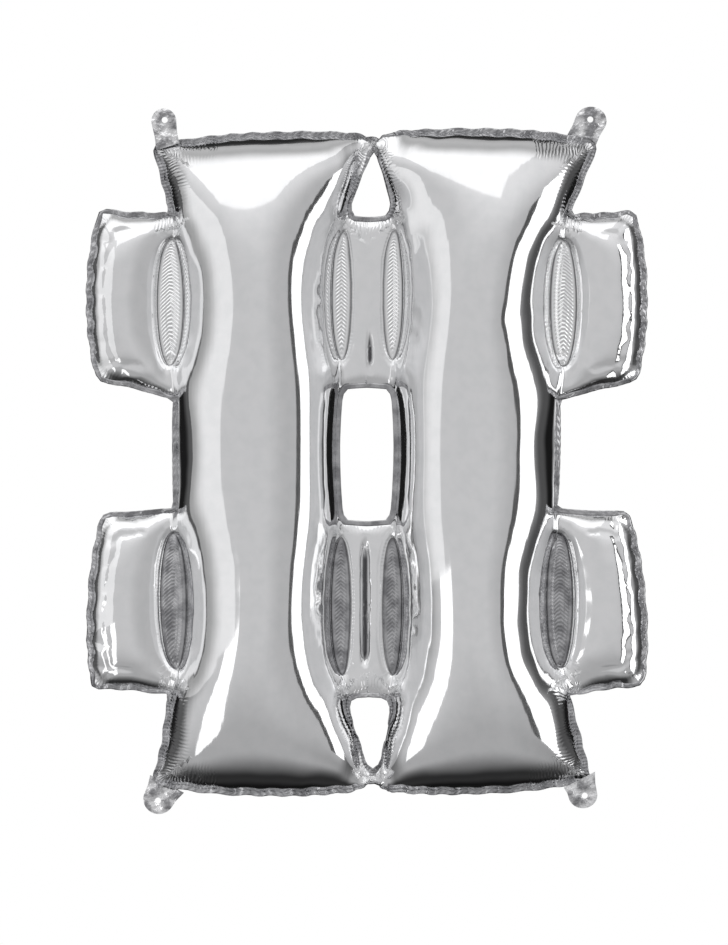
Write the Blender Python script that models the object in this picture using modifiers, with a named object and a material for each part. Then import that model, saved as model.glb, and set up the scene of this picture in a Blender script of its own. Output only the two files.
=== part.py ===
"""Mirror-silver foil balloon in the shape of a hash sign, blown up tight and hanging upright.

Two foil sheets, front and back, are welded to each other along a flat seam that runs round
the outside and round the three openings. Eight lens-shaped welds inside, where the crossbars
meet the bars, pinch the tubes. Four tabs with a punched hole stand on the outer seam. The ends
of the two bars lean a little to the right, as the blown-up balloon hangs.
Metres, front towards -Y, +X to the right, +Z up, origin at the middle of the window.
"""

import math

import bpy
import numpy as np
from mathutils import Vector, geometry

# Outer edge of the weld, right half, from the notch over the middle down to the bottom:
# distance from the middle line, then height over the middle of the window.
TOP_NOTCH = (0.0, 0.3766)
TOP_TAB_SEAT = (0.232, 0.3825)
BAR_TOP_CORNER = (0.2705, 0.370)
UPPER_NECK = (0.2510, 0.2987)
UPPER_STUB_TOP = (0.331, 0.2915)
UPPER_STUB_BOTTOM = (0.331, 0.0875)
UPPER_FOLD = (0.265, 0.0945)
UPPER_ARMPIT = (0.2365, 0.060)
LOWER_ARMPIT = (0.2365, -0.070)
LOWER_STUB_TOP = (0.3265, -0.081)
LOWER_STUB_BOTTOM = (0.342, -0.287)
LOWER_NECK = (0.249, -0.308)
BAR_BOTTOM_CORNER = (0.2735, -0.396)
BOTTOM_TAB_SEAT = (0.230, -0.4185)
BOTTOM_NOTCH = (0.0, -0.415)

# How far each of those edges bows outwards between its two corners.
BAR_TOP_BOW = 0.0125
BAR_BOTTOM_BOW = 0.005
STUB_TOP_BOW = -0.011
UPPER_STUB_END_BOW = 0.0175
LOWER_STUB_END_BOW = 0.016
NECK_BOW = -0.003
BOW_SQUARENESS = 2.6
LOBE_LENGTH = 0.034
LOBE_DEPTH = 0.0016

# The three openings, right half, as the edges of the foil.
TOP_GAP = ((0.0, 0.3605), (0.0045, 0.3545), (0.0105, 0.343), (0.0155, 0.319), (0.021, 0.2945), (0.0, 0.292))
WINDOW = ((0.0, 0.071), (0.025, 0.070), (0.0325, 0.061), (0.0325, -0.070), (0.024, -0.082), (0.0, -0.083))
BOTTOM_GAP = ((0.0, -0.3055), (0.0225, -0.3065), (0.0165, -0.341), (0.0115, -0.368), (0.0055, -0.380), (0.0, -0.383))

# How the bars' ends lean as the balloon hangs: at each height the shift to the right, and the
# rise of the right bar over the left one for each metre between them. The stubs don't lean.
LEAN_HEIGHTS = (-0.44, -0.32, -0.25, 0.24, 0.31, 0.40)
LEANS = (0.0074, 0.0064, 0.0, 0.0, 0.0100, 0.0117)
RISES = (0.012, 0.0, 0.0, 0.0, 0.0, 0.018)
STUB_START, STUB_FADE = 0.252, 0.035
STUB_TOP_HEIGHT, HEIGHT_FADE = 0.33, 0.03

# Lens-shaped welds: distance from the middle line and width of the outer and the inner ones,
# then middle height and length of those in the upper and in the lower crossbar.
OUTER_LENS_X, OUTER_LENS_WIDTH = 0.2385, 0.031
INNER_LENS_X, INNER_LENS_WIDTH = 0.030, 0.023
UPPER_LENS_Z, UPPER_LENS_LENGTH = 0.185, 0.154
LOWER_LENS_Z, LOWER_LENS_LENGTH = -0.192, 0.168

# Hanging tabs: where the two feet stand along the seat, from its inner end to the bar's corner,
# then the middle and the size of the round head, and the middle of the hole, as the balloon hangs.
TOP_LEFT_TAB = ((0.24, 0.97), (-0.2490, 0.4036), (0.0307, 0.0307), (-0.2479, 0.4048))
TOP_RIGHT_TAB = ((0.05, 0.98), (0.2748, 0.4036), (0.0386, 0.0350), (0.2741, 0.4055))
BOTTOM_LEFT_TAB = ((0.03, 0.98), (-0.2552, -0.4281), (0.0380, 0.0368), (-0.2561, -0.4301))
BOTTOM_RIGHT_TAB = ((0.10, 0.98), (0.2650, -0.4232), (0.0356, 0.0325), (0.2673, -0.4240))
TAB_WAIST = 0.001
TAB_HOLE_DIAMETER = 0.0075

SEAM_WIDTH = 0.0061
SEAM_THICKNESS = 0.0012
SEAM_LAP = 0.0022
FIT_GAP = 0.0003
FOIL_THICKNESS = 0.001
RIM_HEIGHT = 0.0014

# How deep the film blows up against an ideal soap film, and how softly it leaves the seams.
DEPTH_FACTOR = 0.985
SEAM_SOFTNESS = 0.020

# Spacing of the points: along the seams, of the rows beside them, and over the open foil.
SEAM_STEP = 0.014
LENS_STEP = 0.014
FIRST_ROW, SECOND_ROW = 0.005, 0.016
FOIL_STEP = 0.025
GRID_WIDTH, GRID_HEIGHT = 0.72, 1.08

# Shares of its distance that a point keeps: from its own loop once that is grown, from any loop
# in a row, from any loop in the open grid, and from the points already there.
GROWN_SHARE, ROW_SHARE, GRID_SHARE, POINT_SHARE = 0.985, 0.9, 0.85, 0.6
FINEST_STEP = 0.002

SILVER, SILVER_ROUGHNESS = (0.80, 0.81, 0.82), 0.12
SEAM_SILVER, SEAM_ROUGHNESS = (0.72, 0.73, 0.74), 0.2


def bowed_edge(start, end, bow, lobe_depth=0.0):
    """Points from start up to just before end, bowed out and, with a lobe depth, scalloped."""
    start, end = np.array(start), np.array(end)
    length = float(np.linalg.norm(end - start))
    lobes = max(1, round(length / LOBE_LENGTH))
    steps = 4 * lobes if lobe_depth else max(2, round(length / SEAM_STEP))
    along = (end - start) / length
    outwards = np.array((-along[1], along[0]))
    share = np.arange(steps)[:, None] / steps
    rise = bow * (1 - np.abs(2 * share - 1) ** BOW_SQUARENESS)
    rise = rise + lobe_depth * np.abs(np.sin(math.pi * lobes * share)) ** 0.7
    return start + share * (end - start) + rise * outwards


def mirrored(right_half):
    """The whole loop of a right half that starts and ends on the middle line."""
    right_half = np.asarray(right_half)
    left_half = right_half[::-1] * (-1, 1)
    return np.vstack((right_half, left_half[1:-1]))


def leaned(flat):
    """The points where they are in the hanging balloon, whose bars lean at their ends."""
    flat = np.asarray(flat)
    x, z = flat[:, 0], flat[:, 1]
    on_stub = np.clip((np.abs(x) - STUB_START) / STUB_FADE, 0, 1)
    on_stub *= np.clip((STUB_TOP_HEIGHT - np.abs(z)) / HEIGHT_FADE, 0, 1)
    shift = np.interp(z, LEAN_HEIGHTS, LEANS) * (1 - on_stub)
    rise = np.interp(z, LEAN_HEIGHTS, RISES) * x
    return np.column_stack((x + shift, z + rise))


def outer_edge(lobe_depth=0.0):
    corners = (
        (TOP_NOTCH, BAR_TOP_BOW, lobe_depth),
        (TOP_TAB_SEAT, 0.0, 0.0),
        (BAR_TOP_CORNER, NECK_BOW, 0.0),
        (UPPER_NECK, STUB_TOP_BOW, 0.0),
        (UPPER_STUB_TOP, UPPER_STUB_END_BOW, lobe_depth),
        (UPPER_STUB_BOTTOM, STUB_TOP_BOW / 4, 0.0),
        (UPPER_FOLD, 0.0, 0.0),
        (UPPER_ARMPIT, 0.0, 0.0),
        (LOWER_ARMPIT, STUB_TOP_BOW, 0.0),
        (LOWER_STUB_TOP, LOWER_STUB_END_BOW, lobe_depth),
        (LOWER_STUB_BOTTOM, STUB_TOP_BOW / 3, 0.0),
        (LOWER_NECK, NECK_BOW, 0.0),
        (BAR_BOTTOM_CORNER, 0.0, 0.0),
        (BOTTOM_TAB_SEAT, BAR_BOTTOM_BOW, lobe_depth),
        (BOTTOM_NOTCH, 0.0, 0.0),
    )
    edges = [
        bowed_edge(start, end, bow, depth)
        for (start, bow, depth), (end, _, _) in zip(corners, corners[1:])
    ]
    return mirrored(np.vstack(edges + [np.array([BOTTOM_NOTCH])]))


def signed_area(loop):
    x, z = loop[:, 0], loop[:, 1]
    return 0.5 * float(np.sum(x * np.roll(z, -1) - np.roll(x, -1) * z))


def resampled(loop, step):
    """The loop with its points spaced evenly, about a step apart."""
    closed = np.vstack((loop, loop[:1]))
    run = np.concatenate(([0.0], np.cumsum(np.linalg.norm(np.diff(closed, axis=0), axis=1))))
    count = max(8, round(run[-1] / step))
    at = np.arange(count) * run[-1] / count
    return np.column_stack((np.interp(at, run, closed[:, 0]), np.interp(at, run, closed[:, 1])))


def nearest_on(loop, points):
    """The point of the loop's line that is nearest to each point."""
    start = loop[None]
    run = np.roll(loop, -1, axis=0)[None] - start
    from_start = points[:, None] - start
    share = np.clip((from_start * run).sum(2) / (run * run).sum(2), 0, 1)
    on_line = start + share[..., None] * run
    closest = np.linalg.norm(on_line - points[:, None], axis=2).argmin(axis=1)
    return on_line[np.arange(len(points)), closest]


def distance_to(loop, points):
    return np.linalg.norm(points - nearest_on(loop, points), axis=1)


def grown(loop, distance):
    """The loop moved outwards by the distance, or inwards where it is negative."""
    turn = 1 if signed_area(loop) > 0 else -1
    dense = resampled(loop, FINEST_STEP)
    run = np.roll(dense, -1, axis=0) - np.roll(dense, 1, axis=0)
    run /= np.linalg.norm(run, axis=1)[:, None]
    outwards = np.column_stack((run[:, 1], -run[:, 0])) * turn
    moved = dense + outwards * distance
    return moved[distance_to(loop, moved) > GROWN_SHARE * abs(distance)]


def contains(loop, points):
    x, z = points[:, 0][:, None], points[:, 1][:, None]
    x0, z0 = loop[:, 0], loop[:, 1]
    x1, z1 = np.roll(x0, -1), np.roll(z0, -1)
    rise = np.where(z1 == z0, 1.0, z1 - z0)
    crossed = ((z0 > z) != (z1 > z)) & (x < (x1 - x0) * (z - z0) / rise + x0)
    return crossed.sum(axis=1) % 2 == 1


def lens(centre_x, centre_z, width, length):
    half_turn = np.linspace(-math.pi / 2, math.pi / 2, max(6, round(length / LENS_STEP)))
    right_side = np.column_stack((np.cos(half_turn) * width / 2, np.sin(half_turn) * length / 2))
    left_side = right_side[::-1] * (-1, 1)
    return np.vstack((right_side[1:], left_side[1:])) + (centre_x, centre_z)


def lenses(lap=0.0):
    """Outline of each lens-shaped weld by its name, larger all round by the lap."""
    rows = (("upper", UPPER_LENS_Z, UPPER_LENS_LENGTH), ("lower", LOWER_LENS_Z, LOWER_LENS_LENGTH))
    places = (
        ("left_outer", -OUTER_LENS_X, OUTER_LENS_WIDTH),
        ("left_inner", -INNER_LENS_X, INNER_LENS_WIDTH),
        ("right_inner", INNER_LENS_X, INNER_LENS_WIDTH),
        ("right_outer", OUTER_LENS_X, OUTER_LENS_WIDTH),
    )
    return {
        f"{row}_{place}_weld": lens(x, z, width + 2 * lap, length + 4 * lap)
        for row, z, length in rows
        for place, x, width in places
    }


def triangle_grid(seam, holes):
    """Points and triangles of the flat foil inside the seam and outside the holes."""
    loops = [seam] + holes
    rows = []
    for loop, way in [(seam, -1)] + [(hole, 1) for hole in holes]:
        for distance, step in ((FIRST_ROW, SEAM_STEP * 1.1), (SECOND_ROW, FOIL_STEP * 0.8)):
            row = resampled(grown(loop, way * distance), step)
            near = np.min([distance_to(other, row) for other in loops], axis=0)
            rows.append((distance, row[near > ROW_SHARE * distance]))
    row_height = FOIL_STEP * math.sqrt(0.75)
    columns = np.arange(GRID_WIDTH // FOIL_STEP) - GRID_WIDTH // FOIL_STEP / 2
    lines = np.arange(GRID_HEIGHT // row_height) - GRID_HEIGHT // row_height / 2
    grid = np.array([((i + 0.5 * (j % 2)) * FOIL_STEP, j * row_height) for j in lines for i in columns])
    rows.append((SECOND_ROW + 0.7 * FOIL_STEP, grid))
    free = []
    for distance, points in rows:
        inside = contains(seam, points)
        for hole in holes:
            inside &= ~contains(hole, points)
        near = np.min([distance_to(loop, points) for loop in loops], axis=0)
        for point in points[inside & (near > GRID_SHARE * distance)]:
            if all(math.dist(point, other) > POINT_SHARE * min(spare, distance) for spare, other in free):
                free.append((distance, point))
    points = [Vector(point) for loop in loops for point in loop]
    points += [Vector(point) for _, point in free]
    edges = []
    start = 0
    for loop in loops:
        edges += [(start + i, start + (i + 1) % len(loop)) for i in range(len(loop))]
        start += len(loop)
    flat, _, triangles, _, _, _ = geometry.delaunay_2d_cdt(points, edges, [], 0, 1e-6)
    flat, triangles = np.array([tuple(point) for point in flat]), np.array(triangles)
    middles = flat[triangles].mean(axis=1)
    kept = contains(seam, middles)
    for hole in holes:
        kept &= ~contains(hole, middles)
    used, triangles = np.unique(triangles[kept], return_inverse=True)
    return flat[used], triangles.reshape(-1, 3)


def on_rim(triangles, count):
    """Which points lie on an edge that only one triangle has."""
    ends = np.concatenate((triangles[:, :2], triangles[:, 1:], triangles[:, ::2]))
    edges, uses = np.unique(np.sort(ends, axis=1), axis=0, return_counts=True)
    rim = np.zeros(count, bool)
    rim[edges[uses == 1]] = True
    return rim


def blown_up(flat, triangles):
    """Height of each point over the seam's plane: a soap film's, rounded to a circle across a tube."""
    stiffness = np.zeros((len(flat), len(flat)))
    load = np.zeros(len(flat))
    for triangle in triangles:
        corner = flat[triangle]
        facing = np.roll(corner, -2, axis=0) - np.roll(corner, -1, axis=0)
        area = 0.5 * abs(facing[0, 0] * facing[1, 1] - facing[0, 1] * facing[1, 0])
        stiffness[np.ix_(triangle, triangle)] += facing @ facing.T / (4 * area)
        load[triangle] += area / 3
    film = np.zeros(len(flat))
    free = ~on_rim(triangles, len(flat))
    film[free] = np.linalg.solve(stiffness[np.ix_(free, free)], load[free])
    heights = DEPTH_FACTOR * np.sqrt(2 * np.maximum(film, 0))
    return np.hypot(heights, SEAM_SOFTNESS) - SEAM_SOFTNESS


def new_material(name, colour, roughness):
    material = bpy.data.materials.new(name)
    material.use_nodes = True
    shader = material.node_tree.nodes["Principled BSDF"]
    shader.inputs["Base Color"].default_value = (*colour, 1)
    shader.inputs["Roughness"].default_value = roughness
    shader.inputs["Metallic"].default_value = 1.0
    return material


def foil_sheet(name, side, grid, heights, collection):
    """One sheet as an open surface made 1 mm thick inwards, its rim level over the weld."""
    flat, triangles = grid
    hung = leaned(flat)
    points = np.column_stack((hung[:, 0], side * (heights + RIM_HEIGHT), hung[:, 1]))
    corners = flat[triangles]
    one, two = corners[:, 1] - corners[:, 0], corners[:, 2] - corners[:, 0]
    anticlockwise = one[:, 0] * two[:, 1] - one[:, 1] * two[:, 0] > 0
    faces = np.where((anticlockwise == (side < 0))[:, None], triangles, triangles[:, ::-1])
    mesh = bpy.data.meshes.new(name)
    mesh.from_pydata(points.tolist(), [], faces.tolist())
    sheet = bpy.data.objects.new(name, mesh)
    collection.objects.link(sheet)
    thickness = sheet.modifiers.new("Foil", "SOLIDIFY")
    thickness.thickness = FOIL_THICKNESS
    thickness.offset = -1
    graph = bpy.context.evaluated_depsgraph_get()
    solid = bpy.data.meshes.new_from_object(sheet.evaluated_get(graph))
    sheet.modifiers.clear()
    lowest = SEAM_THICKNESS / 2 + FIT_GAP
    for vertex in solid.vertices:
        vertex.co.y = side * max(lowest, side * vertex.co.y)
    solid.shade_smooth()
    sheet.data = solid
    bpy.data.meshes.remove(mesh)
    solid.name = name
    solid.materials.append(new_material(name, SILVER, SILVER_ROUGHNESS))
    return sheet


def flat_plate(name, loops, collection):
    """A plate in the seam's plane from an outline and the outlines of the holes in it."""
    curve = bpy.data.curves.new(name, "CURVE")
    curve.dimensions = "2D"
    curve.fill_mode = "BOTH"
    curve.extrude = SEAM_THICKNESS / 2
    for loop in loops:
        spline = curve.splines.new("POLY")
        spline.points.add(len(loop) - 1)
        for point, (x, z) in zip(spline.points, loop):
            point.co = (x, z, 0, 1)
        spline.use_cyclic_u = True
    plate = bpy.data.objects.new(name, curve)
    plate.rotation_euler = (math.pi / 2, 0, 0)
    curve.materials.append(new_material(name, SEAM_SILVER, SEAM_ROUGHNESS))
    collection.objects.link(plate)
    return plate


def circle(centre, diameter, count=16):
    turn = np.arange(count) * 2 * math.pi / count
    return np.column_stack((np.cos(turn), np.sin(turn))) * diameter / 2 + centre


def hanging_tab(name, side, seat, sizes, collection):
    """A round-headed tongue that stands on the straight seat at a bar's corner, with a hole."""
    feet, head, head_size, hole_centre = sizes
    inner_end, corner = leaned(np.array(seat) * (side, 1))
    upwards = 1 if corner[1] > 0 else -1
    along = (corner - inner_end) / np.linalg.norm(corner - inner_end)
    outwards = np.array((-along[1], along[0])) * side * upwards
    inner_foot, outer_foot = (
        inner_end + share * (corner - inner_end) + FIT_GAP * outwards for share in feet
    )
    if side == upwards:
        first_foot, last_foot = inner_foot, outer_foot
    else:
        first_foot, last_foot = outer_foot, inner_foot
    radii = np.array(head_size) / 2
    turns = []
    for foot, way in ((first_foot, -1), (last_foot, 1)):
        seen = (foot - head) / radii
        turns.append(math.atan2(seen[1], seen[0]) + way * math.acos(1 / math.hypot(*seen)))
    sweep = (turns[0] - turns[1]) % (2 * math.pi)
    turn = turns[0] - np.linspace(0, 1, 18) * sweep
    arc = np.column_stack((np.cos(turn), np.sin(turn))) * radii + head
    outline = np.vstack(
        (
            bowed_edge(first_foot, arc[0], -TAB_WAIST),
            arc,
            bowed_edge(arc[-1], last_foot, -TAB_WAIST)[1:],
            last_foot,
        )
    )
    return flat_plate(name, [outline, circle(hole_centre, TAB_HOLE_DIAMETER)], collection)


def main():
    for thing in list(bpy.data.objects):
        bpy.data.objects.remove(thing)
    balloon = bpy.data.collections.new("hash_foil_balloon")
    bpy.context.scene.collection.children.link(balloon)

    edge = outer_edge()
    openings = {
        "top_gap_seam": mirrored(TOP_GAP),
        "window_seam": mirrored(WINDOW),
        "bottom_gap_seam": mirrored(BOTTOM_GAP),
    }
    seam = resampled(grown(edge, -SEAM_WIDTH), SEAM_STEP)
    holes = [resampled(grown(opening, SEAM_WIDTH), SEAM_STEP) for opening in openings.values()]
    holes += list(lenses().values())

    grid = triangle_grid(seam, holes)
    heights = blown_up(*grid)
    foil_sheet("front_foil", -1, grid, heights, balloon)
    foil_sheet("back_foil", 1, grid, heights, balloon)

    inner_edge = resampled(grown(edge, -SEAM_WIDTH - SEAM_LAP), SEAM_STEP)
    flat_plate("outer_seam", [leaned(outer_edge(LOBE_DEPTH)), leaned(inner_edge)], balloon)
    room = grown(edge, -SEAM_WIDTH - SEAM_LAP - FIT_GAP)
    for name, opening in openings.items():
        hidden_edge = grown(opening, SEAM_WIDTH + SEAM_LAP)
        outside = ~contains(room, hidden_edge)
        if outside.any():
            hidden_edge[outside] = nearest_on(room, hidden_edge[outside])
        rims = [resampled(hidden_edge, SEAM_STEP / 2), resampled(opening, SEAM_STEP / 2)]
        flat_plate(name, [leaned(rim) for rim in rims], balloon)
    for name, outline in lenses(SEAM_LAP).items():
        flat_plate(name, [leaned(outline)], balloon)

    top_seat = (TOP_TAB_SEAT, BAR_TOP_CORNER)
    bottom_seat = (BOTTOM_TAB_SEAT, BAR_BOTTOM_CORNER)
    hanging_tab("top_left_tab", -1, top_seat, TOP_LEFT_TAB, balloon)
    hanging_tab("top_right_tab", 1, top_seat, TOP_RIGHT_TAB, balloon)
    hanging_tab("bottom_left_tab", -1, bottom_seat, BOTTOM_LEFT_TAB, balloon)
    hanging_tab("bottom_right_tab", 1, bottom_seat, BOTTOM_RIGHT_TAB, balloon)


main()
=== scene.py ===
"""Looks of the hash-shaped foil balloon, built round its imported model. Metres, +Z up. The balloon's front
faces -Y, and the origin is the middle of its centre window."""

import math

import bpy
import numpy as np
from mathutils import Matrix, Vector, geometry


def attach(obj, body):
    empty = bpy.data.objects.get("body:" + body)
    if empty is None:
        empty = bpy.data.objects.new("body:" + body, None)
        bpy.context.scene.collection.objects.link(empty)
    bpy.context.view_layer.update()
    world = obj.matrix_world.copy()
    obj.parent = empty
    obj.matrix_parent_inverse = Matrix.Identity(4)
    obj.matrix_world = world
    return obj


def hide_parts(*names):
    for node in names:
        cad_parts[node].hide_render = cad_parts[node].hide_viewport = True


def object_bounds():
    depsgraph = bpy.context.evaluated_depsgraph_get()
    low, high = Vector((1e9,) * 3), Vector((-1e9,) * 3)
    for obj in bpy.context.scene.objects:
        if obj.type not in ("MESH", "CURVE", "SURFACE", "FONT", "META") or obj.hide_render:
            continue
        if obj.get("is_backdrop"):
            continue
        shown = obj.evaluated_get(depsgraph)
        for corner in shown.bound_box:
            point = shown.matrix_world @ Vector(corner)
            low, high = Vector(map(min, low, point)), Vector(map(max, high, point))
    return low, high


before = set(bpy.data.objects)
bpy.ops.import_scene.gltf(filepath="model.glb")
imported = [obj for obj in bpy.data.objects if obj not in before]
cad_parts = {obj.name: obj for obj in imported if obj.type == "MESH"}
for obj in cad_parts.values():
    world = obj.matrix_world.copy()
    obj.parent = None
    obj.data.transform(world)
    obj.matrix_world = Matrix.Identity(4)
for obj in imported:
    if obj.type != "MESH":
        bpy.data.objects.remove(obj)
cad_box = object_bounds()

# The bag of the balloon: two layers of silvered nylon film, 0.03 mm thick, cut to one flat pattern and heat
# sealed together round every edge. Gas blows the flat bag up, and so does this section: it lays the pattern
# out as a net of triangles, then inflates it as film that folds but doesn't stretch.
SEAM_STEP = 0.0098  # between the net's points along a seam
SHEET_STEP = 0.016  # and in the middle of a sheet
SEAM_ROWS = ((0.008, 1.0), (0.017, 1.25))  # rows beside a seam: how far off it, and their step
SEAM_WIDTH = 0.0061
BAR_TOP_INNER = (0.0070, 0.3830)
BAR_TOP_OUTER = (0.2995, 0.3960)
UPPER_NECK = (0.3045, 0.3018)
UPPER_STUB_TOP = (0.3963, 0.3079)
UPPER_STUB_BOTTOM = (0.4133, 0.1000)
UPPER_ARMPIT = (0.3170, 0.0699)
WAIST_TOP = (0.3175, 0.0552)
WAIST_BOTTOM = (0.3175, -0.0638)
LOWER_ARMPIT = (0.3170, -0.0785)
LOWER_STUB_TOP = (0.4091, -0.0902)
LOWER_STUB_BOTTOM = (0.4100, -0.3045)
LOWER_NECK = (0.3090, -0.3091)
BAR_BOTTOM_OUTER = (0.3000, -0.4244)
BAR_BOTTOM_INNER = (0.0080, -0.4146)
TOP_BOW = 0.0255
BOTTOM_BOW = 0.0270
UPPER_STUB_BOW = 0.0200
LOWER_STUB_BOW = 0.0187
TOP_GAP = ((0, 0.3740), (0.0080, 0.3680), (0.0185, 0.3400), (0.0310, 0.2990), (0.0260, 0.2809), (0, 0.2797))
WINDOW = ((0, 0.0810), (0.0290, 0.0797), (0.0350, 0.0687), (0.0355, 0), (0.0350, -0.0810), (0.0290, -0.0920), (0, -0.0932))
BOTTOM_GAP = ((0, -0.2981), (0.0260, -0.2993), (0.0310, -0.3152), (0.0221, -0.3533), (0.0135, -0.3925), (0, -0.4048))
OUTER_LENS = (0.3120, 0.0319)  # x of its middle, and its width
INNER_LENS = (0.0319, 0.0233)
UPPER_LENS = (0.1890, 0.1570)  # z of its middle, and its length
LOWER_LENS = (-0.1920, 0.1681)
LENS_TILT = 0.07
LENS_NAMES = ("left_outer", "left_inner", "right_inner", "right_outer")


def bowed_edge(start, end, bow=0.0, fullness=2.2):
    """Points from start to just short of end, on a line that swells by bow to its left."""
    start, end = np.array(start), np.array(end)
    length = np.linalg.norm(end - start)
    t = (np.arange(max(2, round(length / 0.0037))) / max(2, round(length / 0.0037)))[:, None]
    across = np.array((start[1] - end[1], end[0] - start[0])) / length
    return start + (end - start) * t + across * bow * (1 - np.abs(2 * t - 1) ** fullness)


def mirrored(half):
    """A closed loop from its right half, which starts and ends on the middle line."""
    half = np.array(half, float)
    return np.vstack((half, (half[::-1] * (-1, 1))[1:-1]))


def pattern_outline():
    """The line along which the two sheets are sealed round the outside."""
    corners = (
        (BAR_TOP_INNER, TOP_BOW),
        (BAR_TOP_OUTER, 0),
        (UPPER_NECK, 0),
        (UPPER_STUB_TOP, UPPER_STUB_BOW),
        (UPPER_STUB_BOTTOM, 0),
        (UPPER_ARMPIT, 0),
        (WAIST_TOP, 0),
        (WAIST_BOTTOM, 0),
        (LOWER_ARMPIT, 0),
        (LOWER_STUB_TOP, LOWER_STUB_BOW),
        (LOWER_STUB_BOTTOM, 0),
        (LOWER_NECK, 0),
        (BAR_BOTTOM_OUTER, BOTTOM_BOW),
        (BAR_BOTTOM_INNER, 0),
    )
    edges = [bowed_edge(a, b, bow) for (a, bow), (b, _) in zip(corners, corners[1:])]
    right = np.vstack(edges + [[BAR_BOTTOM_INNER]])
    return np.vstack((right, right[::-1] * (-1, 1)))


def signed_area(loop):
    x, z = loop.T
    return 0.5 * np.sum(x * np.roll(z, -1) - np.roll(x, -1) * z)


def resampled(loop, step):
    """The loop with evenly spaced points, near step apart."""
    ring = np.vstack((loop, loop[:1]))
    run = np.concatenate(([0], np.cumsum(np.linalg.norm(np.diff(ring, axis=0), axis=1))))
    count = max(8, round(run[-1] / step))
    at = np.arange(count) * run[-1] / count
    return np.column_stack((np.interp(at, run, ring[:, 0]), np.interp(at, run, ring[:, 1])))


def halved(loop):
    """The loop with a point added in the middle of each side."""
    return np.stack((loop, (loop + np.roll(loop, -1, 0)) / 2), 1).reshape(-1, 2)


def nearest_on(loop, points):
    """How far each point is from the loop, and how far along the loop its nearest place is."""
    along = np.roll(loop, -1, 0) - loop
    length = np.linalg.norm(along, axis=1)
    start = np.concatenate(([0], np.cumsum(length)[:-1]))
    far = np.empty(len(points))
    run = np.empty(len(points))
    for first in range(0, len(points), 4000):
        some = slice(first, first + 4000)
        off = points[some, None] - loop[None]
        t = np.clip((off * along).sum(2) / length**2, 0, 1)
        gap = np.linalg.norm(off - t[..., None] * along, axis=2)
        best = gap.argmin(1)
        far[some] = gap.min(1)
        run[some] = start[best] + t[np.arange(len(t)), best] * length[best]
    return far, run


def grown(loop, distance):
    """The loop moved outwards by distance, or inwards where it is negative."""
    turn = math.copysign(1, signed_area(loop))
    fine = resampled(loop, 0.0025)
    along = np.roll(fine, -1, 0) - np.roll(fine, 1, 0)
    along /= np.linalg.norm(along, axis=1)[:, None]
    moved = fine + np.column_stack((along[:, 1], -along[:, 0])) * turn * distance
    return moved[nearest_on(fine, moved)[0] > 0.97 * abs(distance)]


def contains(loop, points):
    x, z = points[:, 0][:, None], points[:, 1][:, None]
    x0, z0 = loop.T
    x1, z1 = np.roll(x0, -1), np.roll(z0, -1)
    rise = np.where(z1 == z0, 1, z1 - z0)
    return (((z0 > z) != (z1 > z)) & (x < (x1 - x0) * (z - z0) / rise + x0)).sum(1) % 2 == 1


def lens_loop(x, width, z, length, tilt=0):
    """The oval in which the two sheets are welded together where a bar and a crossbar meet."""
    turn = np.linspace(-math.pi / 2, math.pi / 2, max(8, round(length / SEAM_STEP)) + 1)
    right = np.column_stack((np.cos(turn) * width / 2, np.sin(turn) * length / 2))
    loop = np.vstack((right[1:], (right[::-1] * (-1, 1))[1:]))
    loop[:, 0] += tilt * loop[:, 1]
    return loop + (x, z)


def free_points(rows, loops):
    """The points of the rows that lie in the bag, clear of its seams and of each other."""
    kept = np.empty((0, 2))
    room = np.empty(0)
    for off, points in rows:
        inside = contains(loops[0], points)
        for loop in loops[1:]:
            inside &= ~contains(loop, points)
        clear = np.min([nearest_on(loop, points)[0] for loop in loops], axis=0) > 0.85 * off
        own = min(off, 1.4 * SEAM_STEP)
        for point in points[inside & clear]:
            least = np.maximum(0.62 * np.minimum(room, own), 0.55 * SEAM_STEP)
            if (np.linalg.norm(kept - point, axis=1) >= least).all():
                kept = np.vstack((kept, point))
                room = np.append(room, own)
    return kept


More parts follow.
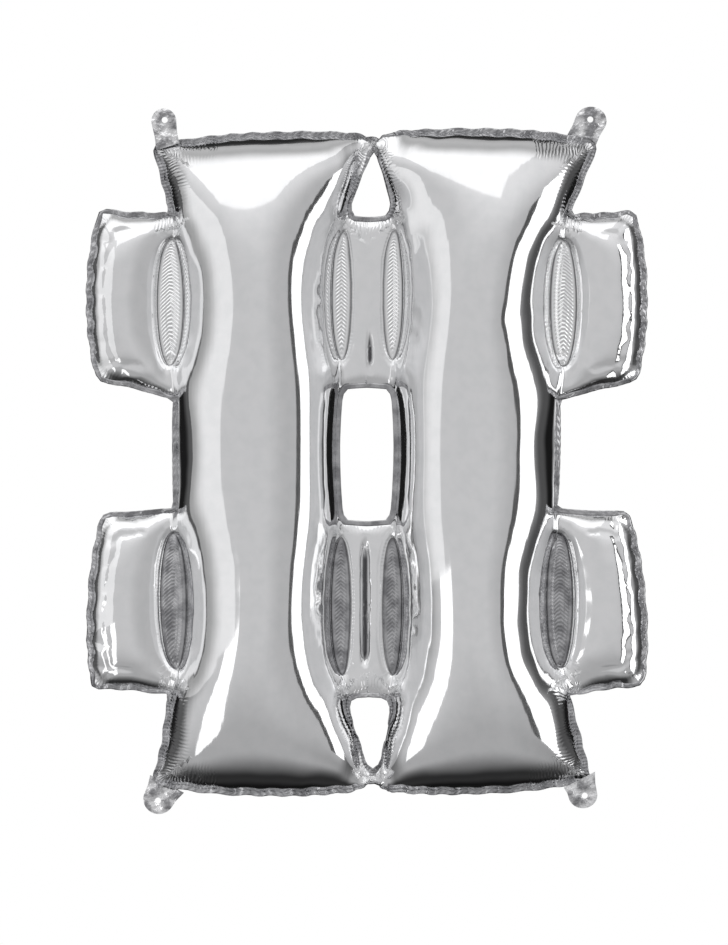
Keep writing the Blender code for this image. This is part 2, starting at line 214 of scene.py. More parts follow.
def pattern_net(outline, gaps, lenses):
    """The flat pattern as points, triangles and the label of each triangle: 0 for the blown-up part, 1 for the
    outer seam, 2 to 4 for the seams round the gaps, and 5 to 12 for the lens welds."""
    seams = [outline, *gaps, *lenses]
    rims = [resampled(grown(outline, SEAM_WIDTH), SEAM_STEP)]
    rims += [resampled(grown(gap, -SEAM_WIDTH), 0.8 * SEAM_STEP) for gap in gaps]
    rows = []
    for loop in seams:
        for off, share in SEAM_ROWS:
            row = resampled(grown(loop, -off if loop is outline else off), share * SEAM_STEP)
            clear = np.min([nearest_on(other, row)[0] for other in seams], axis=0)
            rows.append((off, row[clear > 0.9 * off]))
    rise = SHEET_STEP * math.sqrt(0.75)
    reach = 40
    grid = [((i + 0.5 * (j % 2)) * SHEET_STEP, j * rise) for j in range(-reach, reach) for i in range(-reach, reach)]
    rows.append((SEAM_ROWS[-1][0] + 0.75 * SHEET_STEP, np.array(grid)))
    spines = []
    for loop in lenses:
        middle, half = loop.mean(0), np.ptp(loop[:, 1]) / 2
        for z in np.arange(SEAM_STEP - half, half - 0.9 * SEAM_STEP, SEAM_STEP):
            if np.ptp(loop[:, 0]) * math.sqrt(1 - (z / half) ** 2) > 0.0123:
                spines.append(middle + (0, z))
    loops = seams + rims
    points = np.vstack(loops + [free_points(rows, seams), spines])
    edges, first = [], 0
    for loop in loops:
        edges += [(first + i, first + (i + 1) % len(loop)) for i in range(len(loop))]
        first += len(loop)
    found = geometry.delaunay_2d_cdt([Vector(p) for p in points], edges, [], 0, 1e-7)
    points = np.array([tuple(p) for p in found[0]])
    triangles = np.array(found[2])
    middle = points[triangles].mean(1)
    label = np.where(contains(rims[0], middle), 1, -1)
    label[contains(outline, middle)] = 0
    for k, gap in enumerate(gaps):
        label[contains(gap, middle)] = 2 + k
        label[contains(rims[1 + k], middle)] = -1
    for k, lens in enumerate(lenses):
        label[contains(lens, middle)] = 5 + k
    triangles, label = triangles[label >= 0], label[label >= 0]
    used, index = np.unique(triangles, return_inverse=True)
    points, triangles = points[used], index.reshape(-1, 3)
    corner = points[triangles]
    turned = np.cross(corner[:, 1] - corner[:, 0], corner[:, 2] - corner[:, 0]) < 0
    triangles[turned] = triangles[turned][:, ::-1]
    return points, triangles, label


SHEET_SQUEEZE = 0.3
SEAM_SQUEEZE = 0.1


def bend(points, loop):
    """How far the middle of each point's two neighbours lies from the point."""
    return (points[np.roll(loop, 1)] + points[np.roll(loop, -1)]) / 2 - points[loop]


class Film:
    """A bag of film. `flat` holds its points in the flat pattern, `place` where they are now, `layer` is -1 in
    the front sheet, 1 in the back sheet and 0 where they are sealed, and `label` names each triangle's piece."""

    FRONT, BACK = 0, -1

    def __init__(self, points, triangles, label):
        blown = label == 0
        rims = np.sort(triangles[blown][:, [[0, 1], [1, 2], [2, 0]]].reshape(-1, 2), axis=1)
        lines, count = np.unique(rims, axis=0, return_counts=True)
        sealed = np.zeros(len(points), bool)
        sealed[triangles[~blown]] = True
        sealed[lines[count == 1]] = True
        free = np.where(~sealed)[0]
        twin = np.arange(len(points))
        twin[free] = len(points) + np.arange(len(free))
        self.layer = np.zeros(len(points) + len(free))
        self.layer[free] = -1
        self.layer[len(points) :] = 1
        both = np.vstack((points, points[free]))
        self.flat = np.column_stack((both[:, 0], np.zeros(len(both)), both[:, 1]))
        self.faces = np.vstack((triangles[blown], twin[triangles[blown]][:, ::-1], triangles[~blown]))
        self.label = np.concatenate((label[blown], np.full(blown.sum(), self.BACK), label[~blown]))
        self.place = self.flat.copy()
        unevenness = np.random.default_rng(3).normal(0, 0.00025, len(both))
        self.place[:, 1] = 0.0037 * self.layer + unevenness

    def loop(self, flat_loop):
        """The points of the bag that lie on this loop of the pattern, in its order."""
        return [np.abs(self.flat[:, [0, 2]] - point).sum(1).argmin() for point in flat_loop]

    def edges(self):
        sides = self.faces[:, [[0, 1], [1, 2], [2, 0]]].reshape(-1, 2)
        return np.unique(np.sort(sides, axis=1), axis=0)

    def hinges(self):
        """The two points that face each other across each edge."""
        sides = np.sort(self.faces[:, [[0, 1], [1, 2], [2, 0]]].reshape(-1, 2), axis=1)
        facing = self.faces[:, [2, 0, 1]].reshape(-1)
        order = np.lexsort((sides[:, 1], sides[:, 0]))
        sides, facing = sides[order], facing[order]
        same = (sides[1:] == sides[:-1]).all(1)
        return np.column_stack((facing[:-1][same], facing[1:][same]))

    def finer(self):
        """Splits each triangle into four."""
        edges = self.edges()
        count = len(self.flat)
        keys = edges[:, 0] * count + edges[:, 1]

        def middle(a, b):
            return count + np.searchsorted(keys, np.minimum(a, b) * count + np.maximum(a, b))

        a, b, c = self.faces.T
        ab, bc, ca = middle(a, b), middle(b, c), middle(c, a)
        corners = ((a, ab, ca), (ab, b, bc), (ca, bc, c), (ab, bc, ca))
        self.faces = np.concatenate([np.column_stack(corner) for corner in corners])
        self.label = np.tile(self.label, 4)
        self.flat = np.vstack((self.flat, self.flat[edges].mean(1)))
        self.place = np.vstack((self.place, self.place[edges].mean(1)))
        self.layer = np.concatenate((self.layer, self.layer[edges].mean(1)))

    def batches(self, pairs, random):
        """Splits the pairs into sets in which no point comes twice, with each pair's length in the flat film."""
        left = pairs
        while len(left):
            draw = random.permutation(len(left))
            lowest = np.full(len(self.flat), len(left))
            np.minimum.at(lowest, left[:, 0], draw)
            np.minimum.at(lowest, left[:, 1], draw)
            taken = (lowest[left[:, 0]] == draw) & (lowest[left[:, 1]] == draw)
            a, b = left[taken].T
            yield a, b, np.linalg.norm(self.flat[a] - self.flat[b], axis=1)
            left = left[~taken]

    def inflate(self, steps, push, keep, fold=0.15, seams=(), ironing=0.06):
        """Blows the bag up: push is how far the gas moves a point in one step, and keep the share of its speed
        that a point keeps. fold is how stiffly film springs back from a fold, and seams are loops of points
        that ironing keeps about as straight as they lie in the pattern."""
        random = np.random.default_rng(1)
        ties = [(a, b, length, self.give(a, b)) for a, b, length in self.batches(self.edges(), random)]
        hinges = list(self.batches(self.hinges(), random))
        blown = self.faces[self.label <= 0]
        corner = self.flat[blown]
        area = np.linalg.norm(np.cross(corner[:, 1] - corner[:, 0], corner[:, 2] - corner[:, 0]), axis=1)
        share = area.sum() / 2 / len(self.flat)
        before = self.place.copy()
        for step in range(steps):
            speed = (self.place - before) * keep
            before = self.place.copy()
            start = self.place[blown[:, 0]]
            out = np.cross(self.place[blown[:, 1]] - start, self.place[blown[:, 2]] - start) / 6
            pressed = [np.bincount(blown.ravel(), np.repeat(out[:, k], 3), len(self.flat)) for k in range(3)]
            self.place = self.place + speed + np.column_stack(pressed) * (push / share)
            for a, b, length, give in ties if step % 2 else ties[::-1]:
                self.pull(a, b, length, give, 1)
            for a, b, length in hinges:
                self.pull(a, b, length, fold, 0)
            for seam in seams:
                self.place[seam] += ironing * (bend(self.place, seam) - bend(self.flat, seam))
            keep_bars_apart(self)

    def give(self, a, b):
        """How stiffly each pair resists being squeezed: a seam gathers into pleats too fine for the net."""
        sealed = np.zeros(len(self.flat), bool)
        sealed[self.faces[self.label > 0]] = True
        return np.where(sealed[a] & sealed[b], SEAM_SQUEEZE, SHEET_SQUEEZE)

    def pull(self, a, b, length, squeezed, stretched):
        """Moves each pair towards its flat length, by one share where squeezed and another where stretched."""
        apart = self.place[b] - self.place[a]
        now = np.sqrt((apart * apart).sum(1)) + 1e-12
        change = (now - length) / now
        apart *= (0.5 * np.where(change < 0, change * squeezed, change * stretched))[:, None]
        self.place[a] += apart
        self.place[b] -= apart


# Half the gap between the two bars at each height: their inner corners bear on each other at both ends.
GAP_HEIGHTS = (-0.50, -0.389, -0.382, -0.368, -0.341, -0.309, -0.300, 0.280, 0.2945, 0.319, 0.3435, 0.3545, 0.365, 0.50)
GAP_HALVES = (0.0006, 0.0012, 0.0055, 0.0115, 0.0165, 0.0218, 0, 0, 0.0205, 0.0153, 0.0104, 0.0050, 0.0012, 0.0006)
CROSSBARS_END = (-0.311, 0.2895)


def keep_bars_apart(bag):
    x, z = bag.place[:, 0], bag.place[:, 2]
    least = np.interp(z, GAP_HEIGHTS, GAP_HALVES)
    beyond = (z < CROSSBARS_END[0]) | (z > CROSSBARS_END[1])
    left = beyond & (bag.flat[:, 0] < -0.0037)
    right = beyond & (bag.flat[:, 0] > 0.0037)
    x[left] = np.minimum(x[left], -least[left])
    x[right] = np.maximum(x[right], least[right])


outline = resampled(pattern_outline(), SEAM_STEP)
gaps = [resampled(mirrored(gap), SEAM_STEP) for gap in (TOP_GAP, WINDOW, BOTTOM_GAP)]
lens_places = [(-OUTER_LENS[0], OUTER_LENS[1]), (-INNER_LENS[0], INNER_LENS[1]), INNER_LENS, OUTER_LENS]
lenses = []
for along in (UPPER_LENS, LOWER_LENS):
    for across in lens_places:
        tilt = -LENS_TILT * np.sign(along[0] * across[0]) if abs(across[0]) > 0.1 else 0
        lenses.append(lens_loop(*across, *along, tilt))
bag = Film(*pattern_net(outline, gaps, lenses))
lines = [outline, resampled(grown(outline, SEAM_WIDTH), SEAM_STEP)]
gap_lines = gaps + [resampled(grown(gap, -SEAM_WIDTH), 0.8 * SEAM_STEP) for gap in gaps]
straight = [bag.loop(line) for line in lines]
bag.inflate(200, 0.000098, 0.95, seams=straight)
bag.inflate(250, 0.000037, 0.96, seams=straight)
bag.inflate(300, 0.0000123, 0.96, seams=straight)
bag.finer()
lines = [halved(line) for line in lines + gap_lines]
straight = [bag.loop(line) for line in lines]
bag.inflate(110, 0.000008, 0.95, fold=0.1, seams=straight, ironing=0.25)
bag.inflate(90, 0.000003, 0.95, fold=0.1, seams=straight, ironing=0.25)
bag.finer()
lines = [halved(line) for line in lines]
straight = [bag.loop(line) for line in lines]
bag.inflate(50, 0.0000015, 0.94, fold=0.1, seams=straight, ironing=0.25)
bag.inflate(30, 0.0000005, 0.92, fold=0.1, seams=straight, ironing=0.25)

# The bars lean a little to the balloon's left at their ends, as it hangs.
LEAN_HEIGHTS = (-0.44, -0.36, -0.32, -0.25, 0.24, 0.31, 0.36, 0.40)
LEANS = (0.0065, 0.0065, 0.0040, 0, 0, 0.0050, 0.0085, 0.0110)
RISES = (0.012, 0.004, 0, 0, 0, 0, 0.010, 0.018)  # for each metre to the right
STUB_START, STUB_FADE = 0.252, 0.035
on_stub = np.clip((np.abs(bag.place[:, 0]) - STUB_START) / STUB_FADE, 0, 1)
on_stub *= np.clip((0.33 - np.abs(bag.place[:, 2])) / 0.03, 0, 1)
lean = np.interp(bag.place[:, 2], LEAN_HEIGHTS, LEANS) * (1 - on_stub)
bag.place[:, 2] += np.interp(bag.place[:, 2], LEAN_HEIGHTS, RISES) * bag.place[:, 0]
bag.place[:, 0] += lean
seam_far = np.full(len(bag.flat), np.inf)
seam_run = np.zeros(len(bag.flat))
for loop in (outline, *gaps, *lenses):
    far, run = nearest_on(loop, bag.flat[:, [0, 2]])
    seam_run = np.where(far < seam_far, run, seam_run)
    seam_far = np.minimum(far, seam_far)

# Beside a seam the real film gathers into crimps too fine for the net, which the finish draws. The net's own
# coarse folds are combed out along the seam, and further off evened all round. The outer seal waves to and fro
# in shallow lobes, and its rim is scalloped.
COMB_REACH = 0.030
COMB_ROW = 0.0014
COMB_ROUNDS = 60
EVEN_FROM = 0.009
EVEN_FULL = 0.026
EVEN_ROUNDS = 40
LOBE = 0.034
LOBE_DEPTH = 0.0010
LOBE_REACH = 0.011
SCALLOP = 0.0011


def evened(rounds, share, alike):
    """Moves each point by this share towards its neighbours, which count as much as they are alike."""
    total = np.bincount(a, alike, len(bag.flat)) + 1e-9
    for _ in range(rounds):
        pull = [np.bincount(a, alike * (bag.place[b, k] - bag.place[a, k]), len(bag.flat)) for k in range(3)]
        bag.place += np.column_stack(pull) * (share / total)[:, None]


edges = bag.edges()
a, b = np.concatenate((edges, edges[:, ::-1])).T
in_sheet = np.abs(bag.layer) > 0
beside = 0.5 * in_sheet * np.clip(2 - 2 * seam_far / COMB_REACH, 0, 1)
evened(COMB_ROUNDS, beside, np.exp(-(((seam_far[a] - seam_far[b]) / COMB_ROW) ** 2)))
beyond = 0.5 * in_sheet * np.clip((seam_far - EVEN_FROM) / (EVEN_FULL - EVEN_FROM), 0, 1)
evened(EVEN_ROUNDS, beyond, np.ones(len(a)))
outer_far, outer_run = nearest_on(outline, bag.flat[:, [0, 2]])
lobes = np.sin(2 * math.pi * outer_run / LOBE + 1.3 * np.sin(2 * math.pi * outer_run / 0.21))
lobes *= np.clip((np.abs(bag.flat[:, 2] + 0.004) - 0.075) / 0.02, 0, 1) * np.exp(-((outer_far / LOBE_REACH) ** 2))
bag.place[:, 1] += LOBE_DEPTH * lobes
ring = np.vstack((outline, outline[:1]))
ring_run = np.concatenate(([0], np.cumsum(np.linalg.norm(np.diff(ring, axis=0), axis=1))))
along = np.roll(outline, -1, 0) - np.roll(outline, 1, 0)
along /= np.linalg.norm(along, axis=1)[:, None] * -math.copysign(1, signed_area(outline))
along = np.vstack((along, along[:1]))
bag.place[:, 0] -= SCALLOP * lobes * np.interp(outer_run, ring_run, along[:, 1])
bag.place[:, 2] += SCALLOP * lobes * np.interp(outer_run, ring_run, along[:, 0])

# Beside the lens welds the bars stand fuller than the net draws them.
FULLER = 0.17
FULLER_OFF = 0.018
FULLER_REACH = 0.015
lens_far = np.min([nearest_on(lens, bag.flat[:, [0, 2]])[0] for lens in lenses], axis=0)
on_bar = (np.abs(bag.flat[:, 0]) > INNER_LENS[0]) & (np.abs(bag.flat[:, 0]) < OUTER_LENS[0])
bag.place[:, 1] *= 1 + FULLER * on_bar * np.exp(-(((lens_far - FULLER_OFF) / FULLER_REACH) ** 2))

# Folds too deep for a finish: a groove down the middle of each bridge between the bars, and a crease across
# each stub beside its end, whose strip bulges in four or five boxes.
GROOVES = ((0.0039, 0.158, 0.092, 0.0048, 0.006), (-0.0022, -0.104, -0.268, 0.0062, 0.011))  # x, top, bottom, half, depth
BOX_STRIP = 0.026
BOX_DEPTH = 0.0016
CREASE_DEPTH = 0.0014
# This mask marks each groove, where the foil finishes paint shade into the film's colour.
groove_shade = np.zeros(len(bag.flat))
for middle, top, bottom, half, depth in GROOVES:
    across = np.clip(1 - np.abs(bag.place[:, 0] - middle) / half, 0, 1)
    height = np.clip((top - bag.place[:, 2]) / 0.03, 0, 1) * np.clip((bag.place[:, 2] - bottom) / 0.02, 0, 1)
    bag.place[:, 1] -= depth * across * height * bag.layer
    groove_shade = np.maximum(groove_shade, across * height)
on_end = np.clip((np.abs(bag.flat[:, 0]) - 0.355) / 0.01, 0, 1)
bulge = np.sin(math.pi * np.clip(outer_far / BOX_STRIP, 0, 1)) * np.abs(np.sin(math.pi * outer_run / LOBE))
crease = np.exp(-(((outer_far - BOX_STRIP) / 0.003) ** 2))
bag.place[:, 1] += (BOX_DEPTH * bulge - CREASE_DEPTH * crease) * on_end * bag.layer

# How deep the crimps are at each point: deepest along the necks and beside the narrow gaps.
gap_far = np.min([nearest_on(gap, bag.flat[:, [0, 2]])[0] for gap in (gaps[0], gaps[2])], axis=0)
neck = (np.abs(bag.flat[:, 0]) > 0.22) & (np.abs(bag.flat[:, 2]) > 0.27) & (np.abs(bag.flat[:, 0]) < 0.33)
waist = np.clip(1.2 - np.abs(bag.flat[:, 2] + 0.004) / 0.08, 0, 1)
crimp = 0.40 * np.clip(1 - seam_far / 0.012, 0, 1) * (1 - 0.8 * waist)
crimp = np.maximum(crimp, 1.3 * np.clip(1 - gap_far / 0.026, 0, 1))
crimp = np.maximum(crimp, 1.3 * neck * np.clip(1 - outer_far / 0.055, 0, 1))


def film_piece(name, label, node, thickness=0.0):
    """A piece of the bag as its own mesh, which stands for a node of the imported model."""
    faces = bag.faces[bag.label == label]
    used, index = np.unique(faces, return_inverse=True)
    mesh = bpy.data.meshes.new(name)
    mesh.from_pydata(bag.place[used].tolist(), [], index.reshape(-1, 3).tolist())
    mesh.shade_smooth()
    mesh.attributes.new("flat_place", "FLOAT_VECTOR", "POINT").data.foreach_set("vector", bag.flat[used].ravel())
    mesh.attributes.new("seam_far", "FLOAT", "POINT").data.foreach_set("value", seam_far[used])
    mesh.attributes.new("seam_run", "FLOAT", "POINT").data.foreach_set("value", seam_run[used])
    mesh.attributes.new("crimp", "FLOAT", "POINT").data.foreach_set("value", crimp[used])
    mesh.attributes.new("lens_far", "FLOAT", "POINT").data.foreach_set("value", lens_far[used])
    mesh.attributes.new("groove_shade", "FLOAT", "POINT").data.foreach_set("value", groove_shade[used])
    piece = bpy.data.objects.new(name, mesh)
    bpy.context.scene.collection.objects.link(piece)
    if thickness:
        plate = piece.modifiers.new("two_layers", "SOLIDIFY")
        plate.thickness = thickness
        plate.offset = 0
    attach(piece, "root")
    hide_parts(node)
    return piece


class Wire:
    """An output of a shader node. Python's operators on it add the Math nodes that do the sum."""

    def __init__(self, tree, socket=None):
        self.tree = tree
        self.socket = socket

    def node(self, kind, settings=None, inputs=None, output=0):
        """Adds a node with these settings and these values or links, and gives one of its outputs."""
        made = self.tree.nodes.new(kind)
        for name, value in (settings or {}).items():
            setattr(made, name, value)
        for name, value in (inputs or {}).items():
            if isinstance(value, Wire):
                self.tree.links.new(value.socket, made.inputs[name])
            else:
                made.inputs[name].default_value = value
        return Wire(self.tree, made.outputs[output] if made.outputs else None)

    def maths(self, operation, first, second):
        return self.node("ShaderNodeMath", {"operation": operation}, {0: first, 1: second})

    def __add__(self, other):
        return self.maths("ADD", self, other)

    def __radd__(self, other):
        return self.maths("ADD", other, self)

    def __sub__(self, other):
        return self.maths("SUBTRACT", self, other)

    def __rsub__(self, other):
        return self.maths("SUBTRACT", other, self)

    def __mul__(self, other):
        return self.maths("MULTIPLY", self, other)

    def __rmul__(self, other):
        return self.maths("MULTIPLY", other, self)

    def __pow__(self, other):
        return self.maths("POWER", self, other)

    def ramp(self, low, high):
        """0 below low, 1 above high, and smooth between them."""
        return self.node(
            "ShaderNodeMapRange",
            {"interpolation_type": "SMOOTHSTEP"},
            {"Value": self, "From Min": low, "From Max": high},
        )

    def mix(self, first, second):
        """A colour between two, by this share of the second."""
        return self.node(
            "ShaderNodeMix", {"data_type": "RGBA"}, {0: self, 6: first, 7: second}, output=2
        )


def new_finish(name):
    """An empty node material, and a wire to start its nodes from."""
    material = bpy.data.materials.new(name)
    material.use_nodes = True
    material.node_tree.nodes.clear()
    return material, Wire(material.node_tree)


SILVER = (0.94, 0.94, 0.945, 1)
SILVER_DULL = (0.90, 0.905, 0.91, 1)
SHADE_DARK = (0.05, 0.05, 0.055, 1)  # painted shade: the near-black colour painted in a fold or at the foot of a weld, where the film mirrors only itself
CRIMP = 0.0046  # from one crimp to the next
RING = 0.0060  # from one fold beside a lens weld to the next


def foil_finish(name, roughness, crimps, tones=(SILVER, SILVER_DULL), chevrons=0.0, weld_foot_shade=0.7):
    """Silvered film: a mirror that is a little soft, with faint waves and fine crimps square to the seams, and painted
    shade darkening its colour in the bridge grooves and round the foot of each lens weld.
    """
    material, wire = new_finish(name)
    place = wire.node("ShaderNodeAttribute", {"attribute_name": "flat_place"}, output=1)
    far = wire.node("ShaderNodeAttribute", {"attribute_name": "seam_far"}, output=2)
    run = wire.node("ShaderNodeAttribute", {"attribute_name": "seam_run"}, output=2)
    waves = wire.node("ShaderNodeTexNoise", inputs={"Vector": place, "Scale": 26, "Detail": 2})
    grain = wire.node("ShaderNodeTexNoise", inputs={"Vector": place, "Scale": 420, "Detail": 2})
    patches = wire.node("ShaderNodeTexNoise", inputs={"Vector": place, "Scale": 55, "Detail": 3})
    crimp = wire.node("ShaderNodeAttribute", {"attribute_name": "crimp"}, output=2)
    drift = run * (2 * math.pi / CRIMP) + patches * 7
    ripples = drift.maths("SINE", drift, 0) * crimp * patches.ramp(0.30, 0.55)
    lens = wire.node("ShaderNodeAttribute", {"attribute_name": "lens_far"}, output=2)
    rings = (lens * (2 * math.pi / RING)).maths("COSINE", lens * (2 * math.pi / RING), 0) * (1 - lens.ramp(0.002, 0.016))
    upright = wire.node("ShaderNodeMapping", inputs={"Vector": place, "Scale": (1, 1, 0.04)})
    streaks = wire.node("ShaderNodeTexNoise", inputs={"Vector": upright, "Scale": 130, "Detail": 1})
    height = waves * 0.9 + streaks * 0.8 + grain * 0.012 + ripples * crimps + rings * 2.2
    if chevrons:
        across = wire.node("ShaderNodeSeparateXYZ", inputs={0: place}, output=2)
        teeth = (across - far * 0.9) * (2 * math.pi / CRIMP)
        height = height + teeth.maths("SINE", teeth, 0) * far.ramp(0.002, 0.006) * chevrons
    bump = wire.node("ShaderNodeBump", inputs={"Strength": 1.0, "Distance": 0.0001, "Height": height})
    groove_shade = wire.node("ShaderNodeAttribute", {"attribute_name": "groove_shade"}, output=2)
    # Painted shade: the base colour darkens towards near-black in each bridge groove and along the foot of each lens
    # weld.
    shade_share = (groove_shade.ramp(0.25, 0.75) * 0.94).maths("MAXIMUM", groove_shade.ramp(0.25, 0.75) * 0.94, (1 - lens.ramp(0.0006, 0.0026)) * weld_foot_shade)
    shader = wire.node(
        "ShaderNodeBsdfPrincipled",
        inputs={
            "Base Color": shade_share.mix(patches.ramp(0.35, 0.7).mix(*tones), SHADE_DARK),
            "Metallic": 1.0,
            "Roughness": waves * 0.05 + roughness,
            "Normal": bump,
        },
    )
    wire.node("ShaderNodeOutputMaterial", inputs={"Surface": shader})
    return material


sheet_finish = foil_finish("silvered_film", 0.05, 2.6)
for name, label, node in (("front_film", Film.FRONT, "front_foil"), ("back_film", Film.BACK, "back_foil")):
    film_piece(name, label, node).data.materials.append(sheet_finish)

# The sealed edges: outside the gas the two layers are welded into one flat flange.
LAYERS = 0.0006
seam_finish = foil_finish("sealed_film", 0.16, 1.6, ((0.52, 0.52, 0.53, 1), (0.26, 0.26, 0.27, 1)))
for label, node in ((1, "outer_seam"), (2, "top_gap_seam"), (3, "window_seam"), (4, "bottom_gap_seam")):
    film_piece(node + "_film", label, node, LAYERS).data.materials.append(seam_finish)

# The lens welds: ovals where the two sheets are welded together, between each bar and its crossbars.
upper_knurl = foil_finish("upper_knurled_film", 0.10, 0.6, chevrons=3.2, weld_foot_shade=0.45)
# The lower welds are the same film as the upper ones, with darker tones as painted shade.
lower_shaded_tones = ((0.50, 0.50, 0.51, 1), (0.24, 0.24, 0.25, 1))
lower_knurl = foil_finish("lower_knurled_film", 0.14, 0.6, lower_shaded_tones, chevrons=2.2, weld_foot_shade=0.45)
for k in range(8):
    node = ("upper_", "lower_")[k // 4] + LENS_NAMES[k % 4]
    lens_piece = film_piece(node + "_lens", 5 + k, node + "_weld", LAYERS)
    lens_piece.data.materials.append((upper_knurl, lower_knurl)[k // 4])

# The tabs: four ears of the two layers welded together and punched, cut out with the bag at its corners.
TAB_ROUGHNESS = 0.10
tab_finish, wire = new_finish("crumpled_tab_film")
place = wire.node("ShaderNodeTexCoord", output=3)
dents = wire.node("ShaderNodeTexVoronoi", {"feature": "SMOOTH_F1"}, {"Vector": place, "Scale": 75})
creases = wire.node("ShaderNodeTexNoise", inputs={"Vector": place, "Scale": 60, "Detail": 4})
grain = wire.node("ShaderNodeTexNoise", inputs={"Vector": place, "Scale": 420, "Detail": 2})
bump = wire.node("ShaderNodeBump", inputs={"Strength": 1.0, "Distance": 0.0060, "Height": dents * 0.5 + creases + grain * 0.01})
# The crease noise that bumps the tabs also darkens their colour with it: painted shade in the creases.
shader = wire.node(
    "ShaderNodeBsdfPrincipled",
    inputs={
        "Base Color": creases.ramp(0.42, 0.62).mix(SILVER, (0.34, 0.34, 0.35, 1)),
        "Metallic": 1.0,
        "Roughness": creases * 0.08 + TAB_ROUGHNESS,
        "Normal": bump,
    },
)
wire.node("ShaderNodeOutputMaterial", inputs={"Surface": shader})
for corner in ("top_left", "top_right", "bottom_left", "bottom_right"):
    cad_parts[corner + "_tab"].data.materials[0] = tab_finish

# The studio: a pale floor, one big soft light overhead, and a white panel close to each side of the balloon.
scene = bpy.context.scene
scene.view_settings.view_transform = "Standard"


def soft_light(name, place, aim, width, height, glow):
    """A panel of even brightness, which the camera doesn't see."""
    lamp = bpy.data.lights.new(name, "AREA")
    lamp.shape = "RECTANGLE"
    lamp.size = width
    lamp.size_y = height
    lamp.energy = math.pi * glow * width * height
    light = bpy.data.objects.new(name, lamp)
    light.location = place
    light.rotation_euler = Vector(aim).to_track_quat("-Z", "Y").to_euler()
    light.visible_camera = False
    scene.collection.objects.link(light)


for step in range(4):
    soft_light(f"overhead_light_{step}", (-0.42, -0.72, 1.3), (0, 0, -1), 1.95 - 0.14 * step, 2.4 - 0.22 * step, 0.31)
soft_light("right_panel", (0.56, -0.2175, -0.05), (-1, 0, 0), 0.235, 1.0, 1.05)
soft_light("left_panel", (-0.61, -0.26, 0.10), (1, 0, 0), 0.58, 0.70, 0.26)
soft_light("left_low_panel", (-0.61, -0.55, -0.50), (1, 0, 0), 0.40, 0.50, 0.75)

# A narrow dark card in front of the right panel, which draws the thin dark line beside the white band.
card = bpy.data.meshes.new("dark_card")
card.from_pydata([(0.565, -0.43, -0.55), (0.565, -0.335, -0.55), (0.565, -0.335, 0.42), (0.565, -0.43, 0.42)], [], [(0, 1, 2, 3)])
dark_card = bpy.data.objects.new("dark_card", card)
dark_card.visible_camera = False
scene.collection.objects.link(dark_card)
card_finish, wire = new_finish("dark_card_board")
place = wire.node("ShaderNodeTexCoord", output=3)
mottle = wire.node("ShaderNodeTexNoise", inputs={"Vector": place, "Scale": 30, "Detail": 3})
shader = wire.node("ShaderNodeBsdfPrincipled", inputs={"Base Color": mottle.mix((0.10, 0.10, 0.10, 1), (0.14, 0.14, 0.14, 1)), "Roughness": 0.9})
wire.node("ShaderNodeOutputMaterial", inputs={"Surface": shader})
card.materials.append(card_finish)
dark_card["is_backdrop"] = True

# The floor: pale matt board, far enough down that the balloon hangs clear of it.
floor_mesh = bpy.data.meshes.new("floor")
reach = [(1.9 * math.cos(math.pi * k / 32), 1.9 * math.sin(math.pi * k / 32), -0.9) for k in range(64)]
floor_mesh.from_pydata(reach, [], [tuple(range(64))])
floor = bpy.data.objects.new("floor", floor_mesh)
floor.visible_glossy = False
scene.collection.objects.link(floor)
floor_finish, wire = new_finish("pale_board")
place = wire.node("ShaderNodeTexCoord", output=3)
mottle = wire.node("ShaderNodeTexNoise", inputs={"Vector": place, "Scale": 6, "Detail": 4})
shader = wire.node("ShaderNodeBsdfPrincipled", inputs={"Base Color": mottle.mix((0.86, 0.86, 0.86, 1), (0.90, 0.90, 0.90, 1)), "Roughness": 0.8, "Emission Color": (1, 1, 1, 1), "Emission Strength": 0.5})
wire.node("ShaderNodeOutputMaterial", inputs={"Surface": shader})
floor_mesh.materials.append(floor_finish)
floor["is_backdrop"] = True

world = bpy.data.worlds.new("room")
world.use_nodes = True
world.node_tree.nodes.clear()
wire = Wire(world.node_tree)
facing = wire.node("ShaderNodeTexCoord")
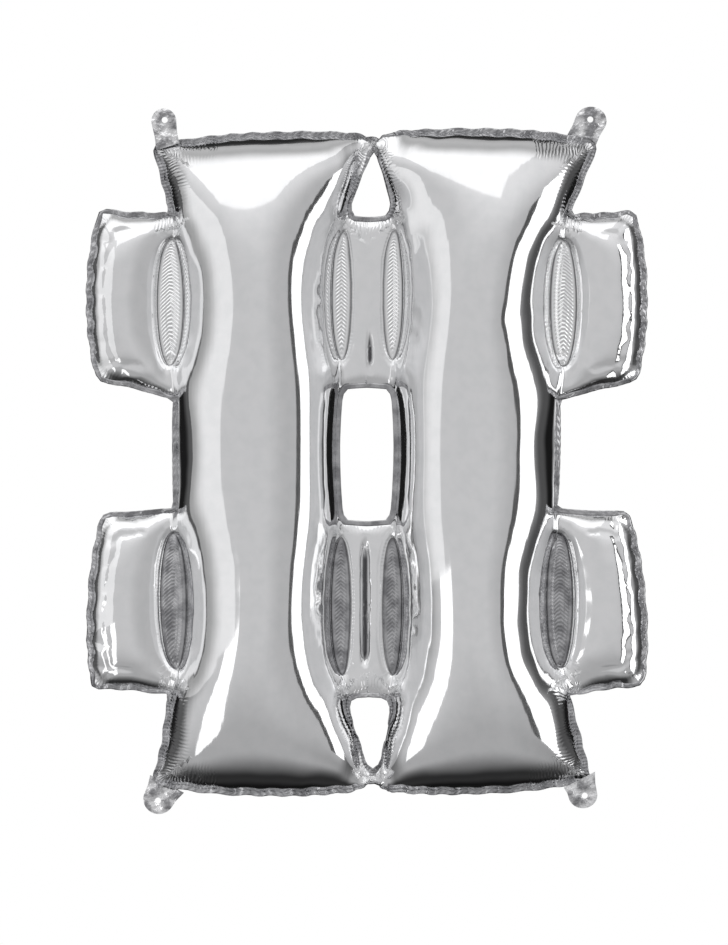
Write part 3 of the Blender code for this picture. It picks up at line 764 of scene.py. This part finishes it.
across = wire.node("ShaderNodeSeparateXYZ", inputs={0: facing}, output=0)
back = wire.node("ShaderNodeSeparateXYZ", inputs={0: facing}, output=1)
up = wire.node("ShaderNodeSeparateXYZ", inputs={0: facing}, output=2)
aside = (0.83 * back.ramp(-0.40, 0.15) + 0.15 * back.ramp(0.3, 0.6)) * (1 - back.ramp(0.80, 0.93))
strip = back.ramp(0.88, 0.93) * (1 - back.ramp(0.95, 0.98)) * up.ramp(-0.5, -0.3) * (1 - up.ramp(0.3, 0.5))
below = 1 - 0.30 * (1 - up.ramp(-0.55, -0.10)) - 0.45 * (1 - up.ramp(-1.0, -0.70))
shade = (1 - aside) * below * (0.45 * strip + 0.575 - 0.11 * across.ramp(0.25, 0.75) + 0.22 * up.ramp(0.15, 0.55) + 0.35 * up.ramp(0.35, 0.60) * back.ramp(0.1, 0.4))
glow = wire.node("ShaderNodeCombineColor", inputs={0: shade, 1: shade, 2: shade * 1.012})
room = wire.node("ShaderNodeBackground", inputs={"Color": glow, "Strength": 1.0})
white = wire.node("ShaderNodeBackground", inputs={"Color": (1, 1, 1, 1), "Strength": 1.0})
seen = wire.node("ShaderNodeLightPath")
around = wire.node("ShaderNodeMixShader", inputs={0: seen, 1: room, 2: white})
wire.node("ShaderNodeOutputWorld", inputs={"Surface": around})
scene.world = world

# The camera looks straight at the front, level with the balloon, from far off.
FRAME = (728, 945)
SCALE = 0.0012267  # metres of the balloon to one pixel
MIDDLE = (366.8, 450)  # the pixel that shows the origin
DISTANCE = 4.0
lens = bpy.data.cameras.new("camera")
lens.sensor_fit = "VERTICAL"
lens.sensor_height = 24
lens.lens = 24 * DISTANCE / (FRAME[1] * SCALE)
camera = bpy.data.objects.new("camera", lens)
camera.location = ((FRAME[0] / 2 - MIDDLE[0]) * SCALE, -DISTANCE, (MIDDLE[1] - FRAME[1] / 2) * SCALE)
camera.rotation_euler = (math.pi / 2, 0, 0)
scene.collection.objects.link(camera)
scene.camera = camera

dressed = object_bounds()
[[list(map(float, corner)) for corner in box] for box in (cad_box, dressed)]
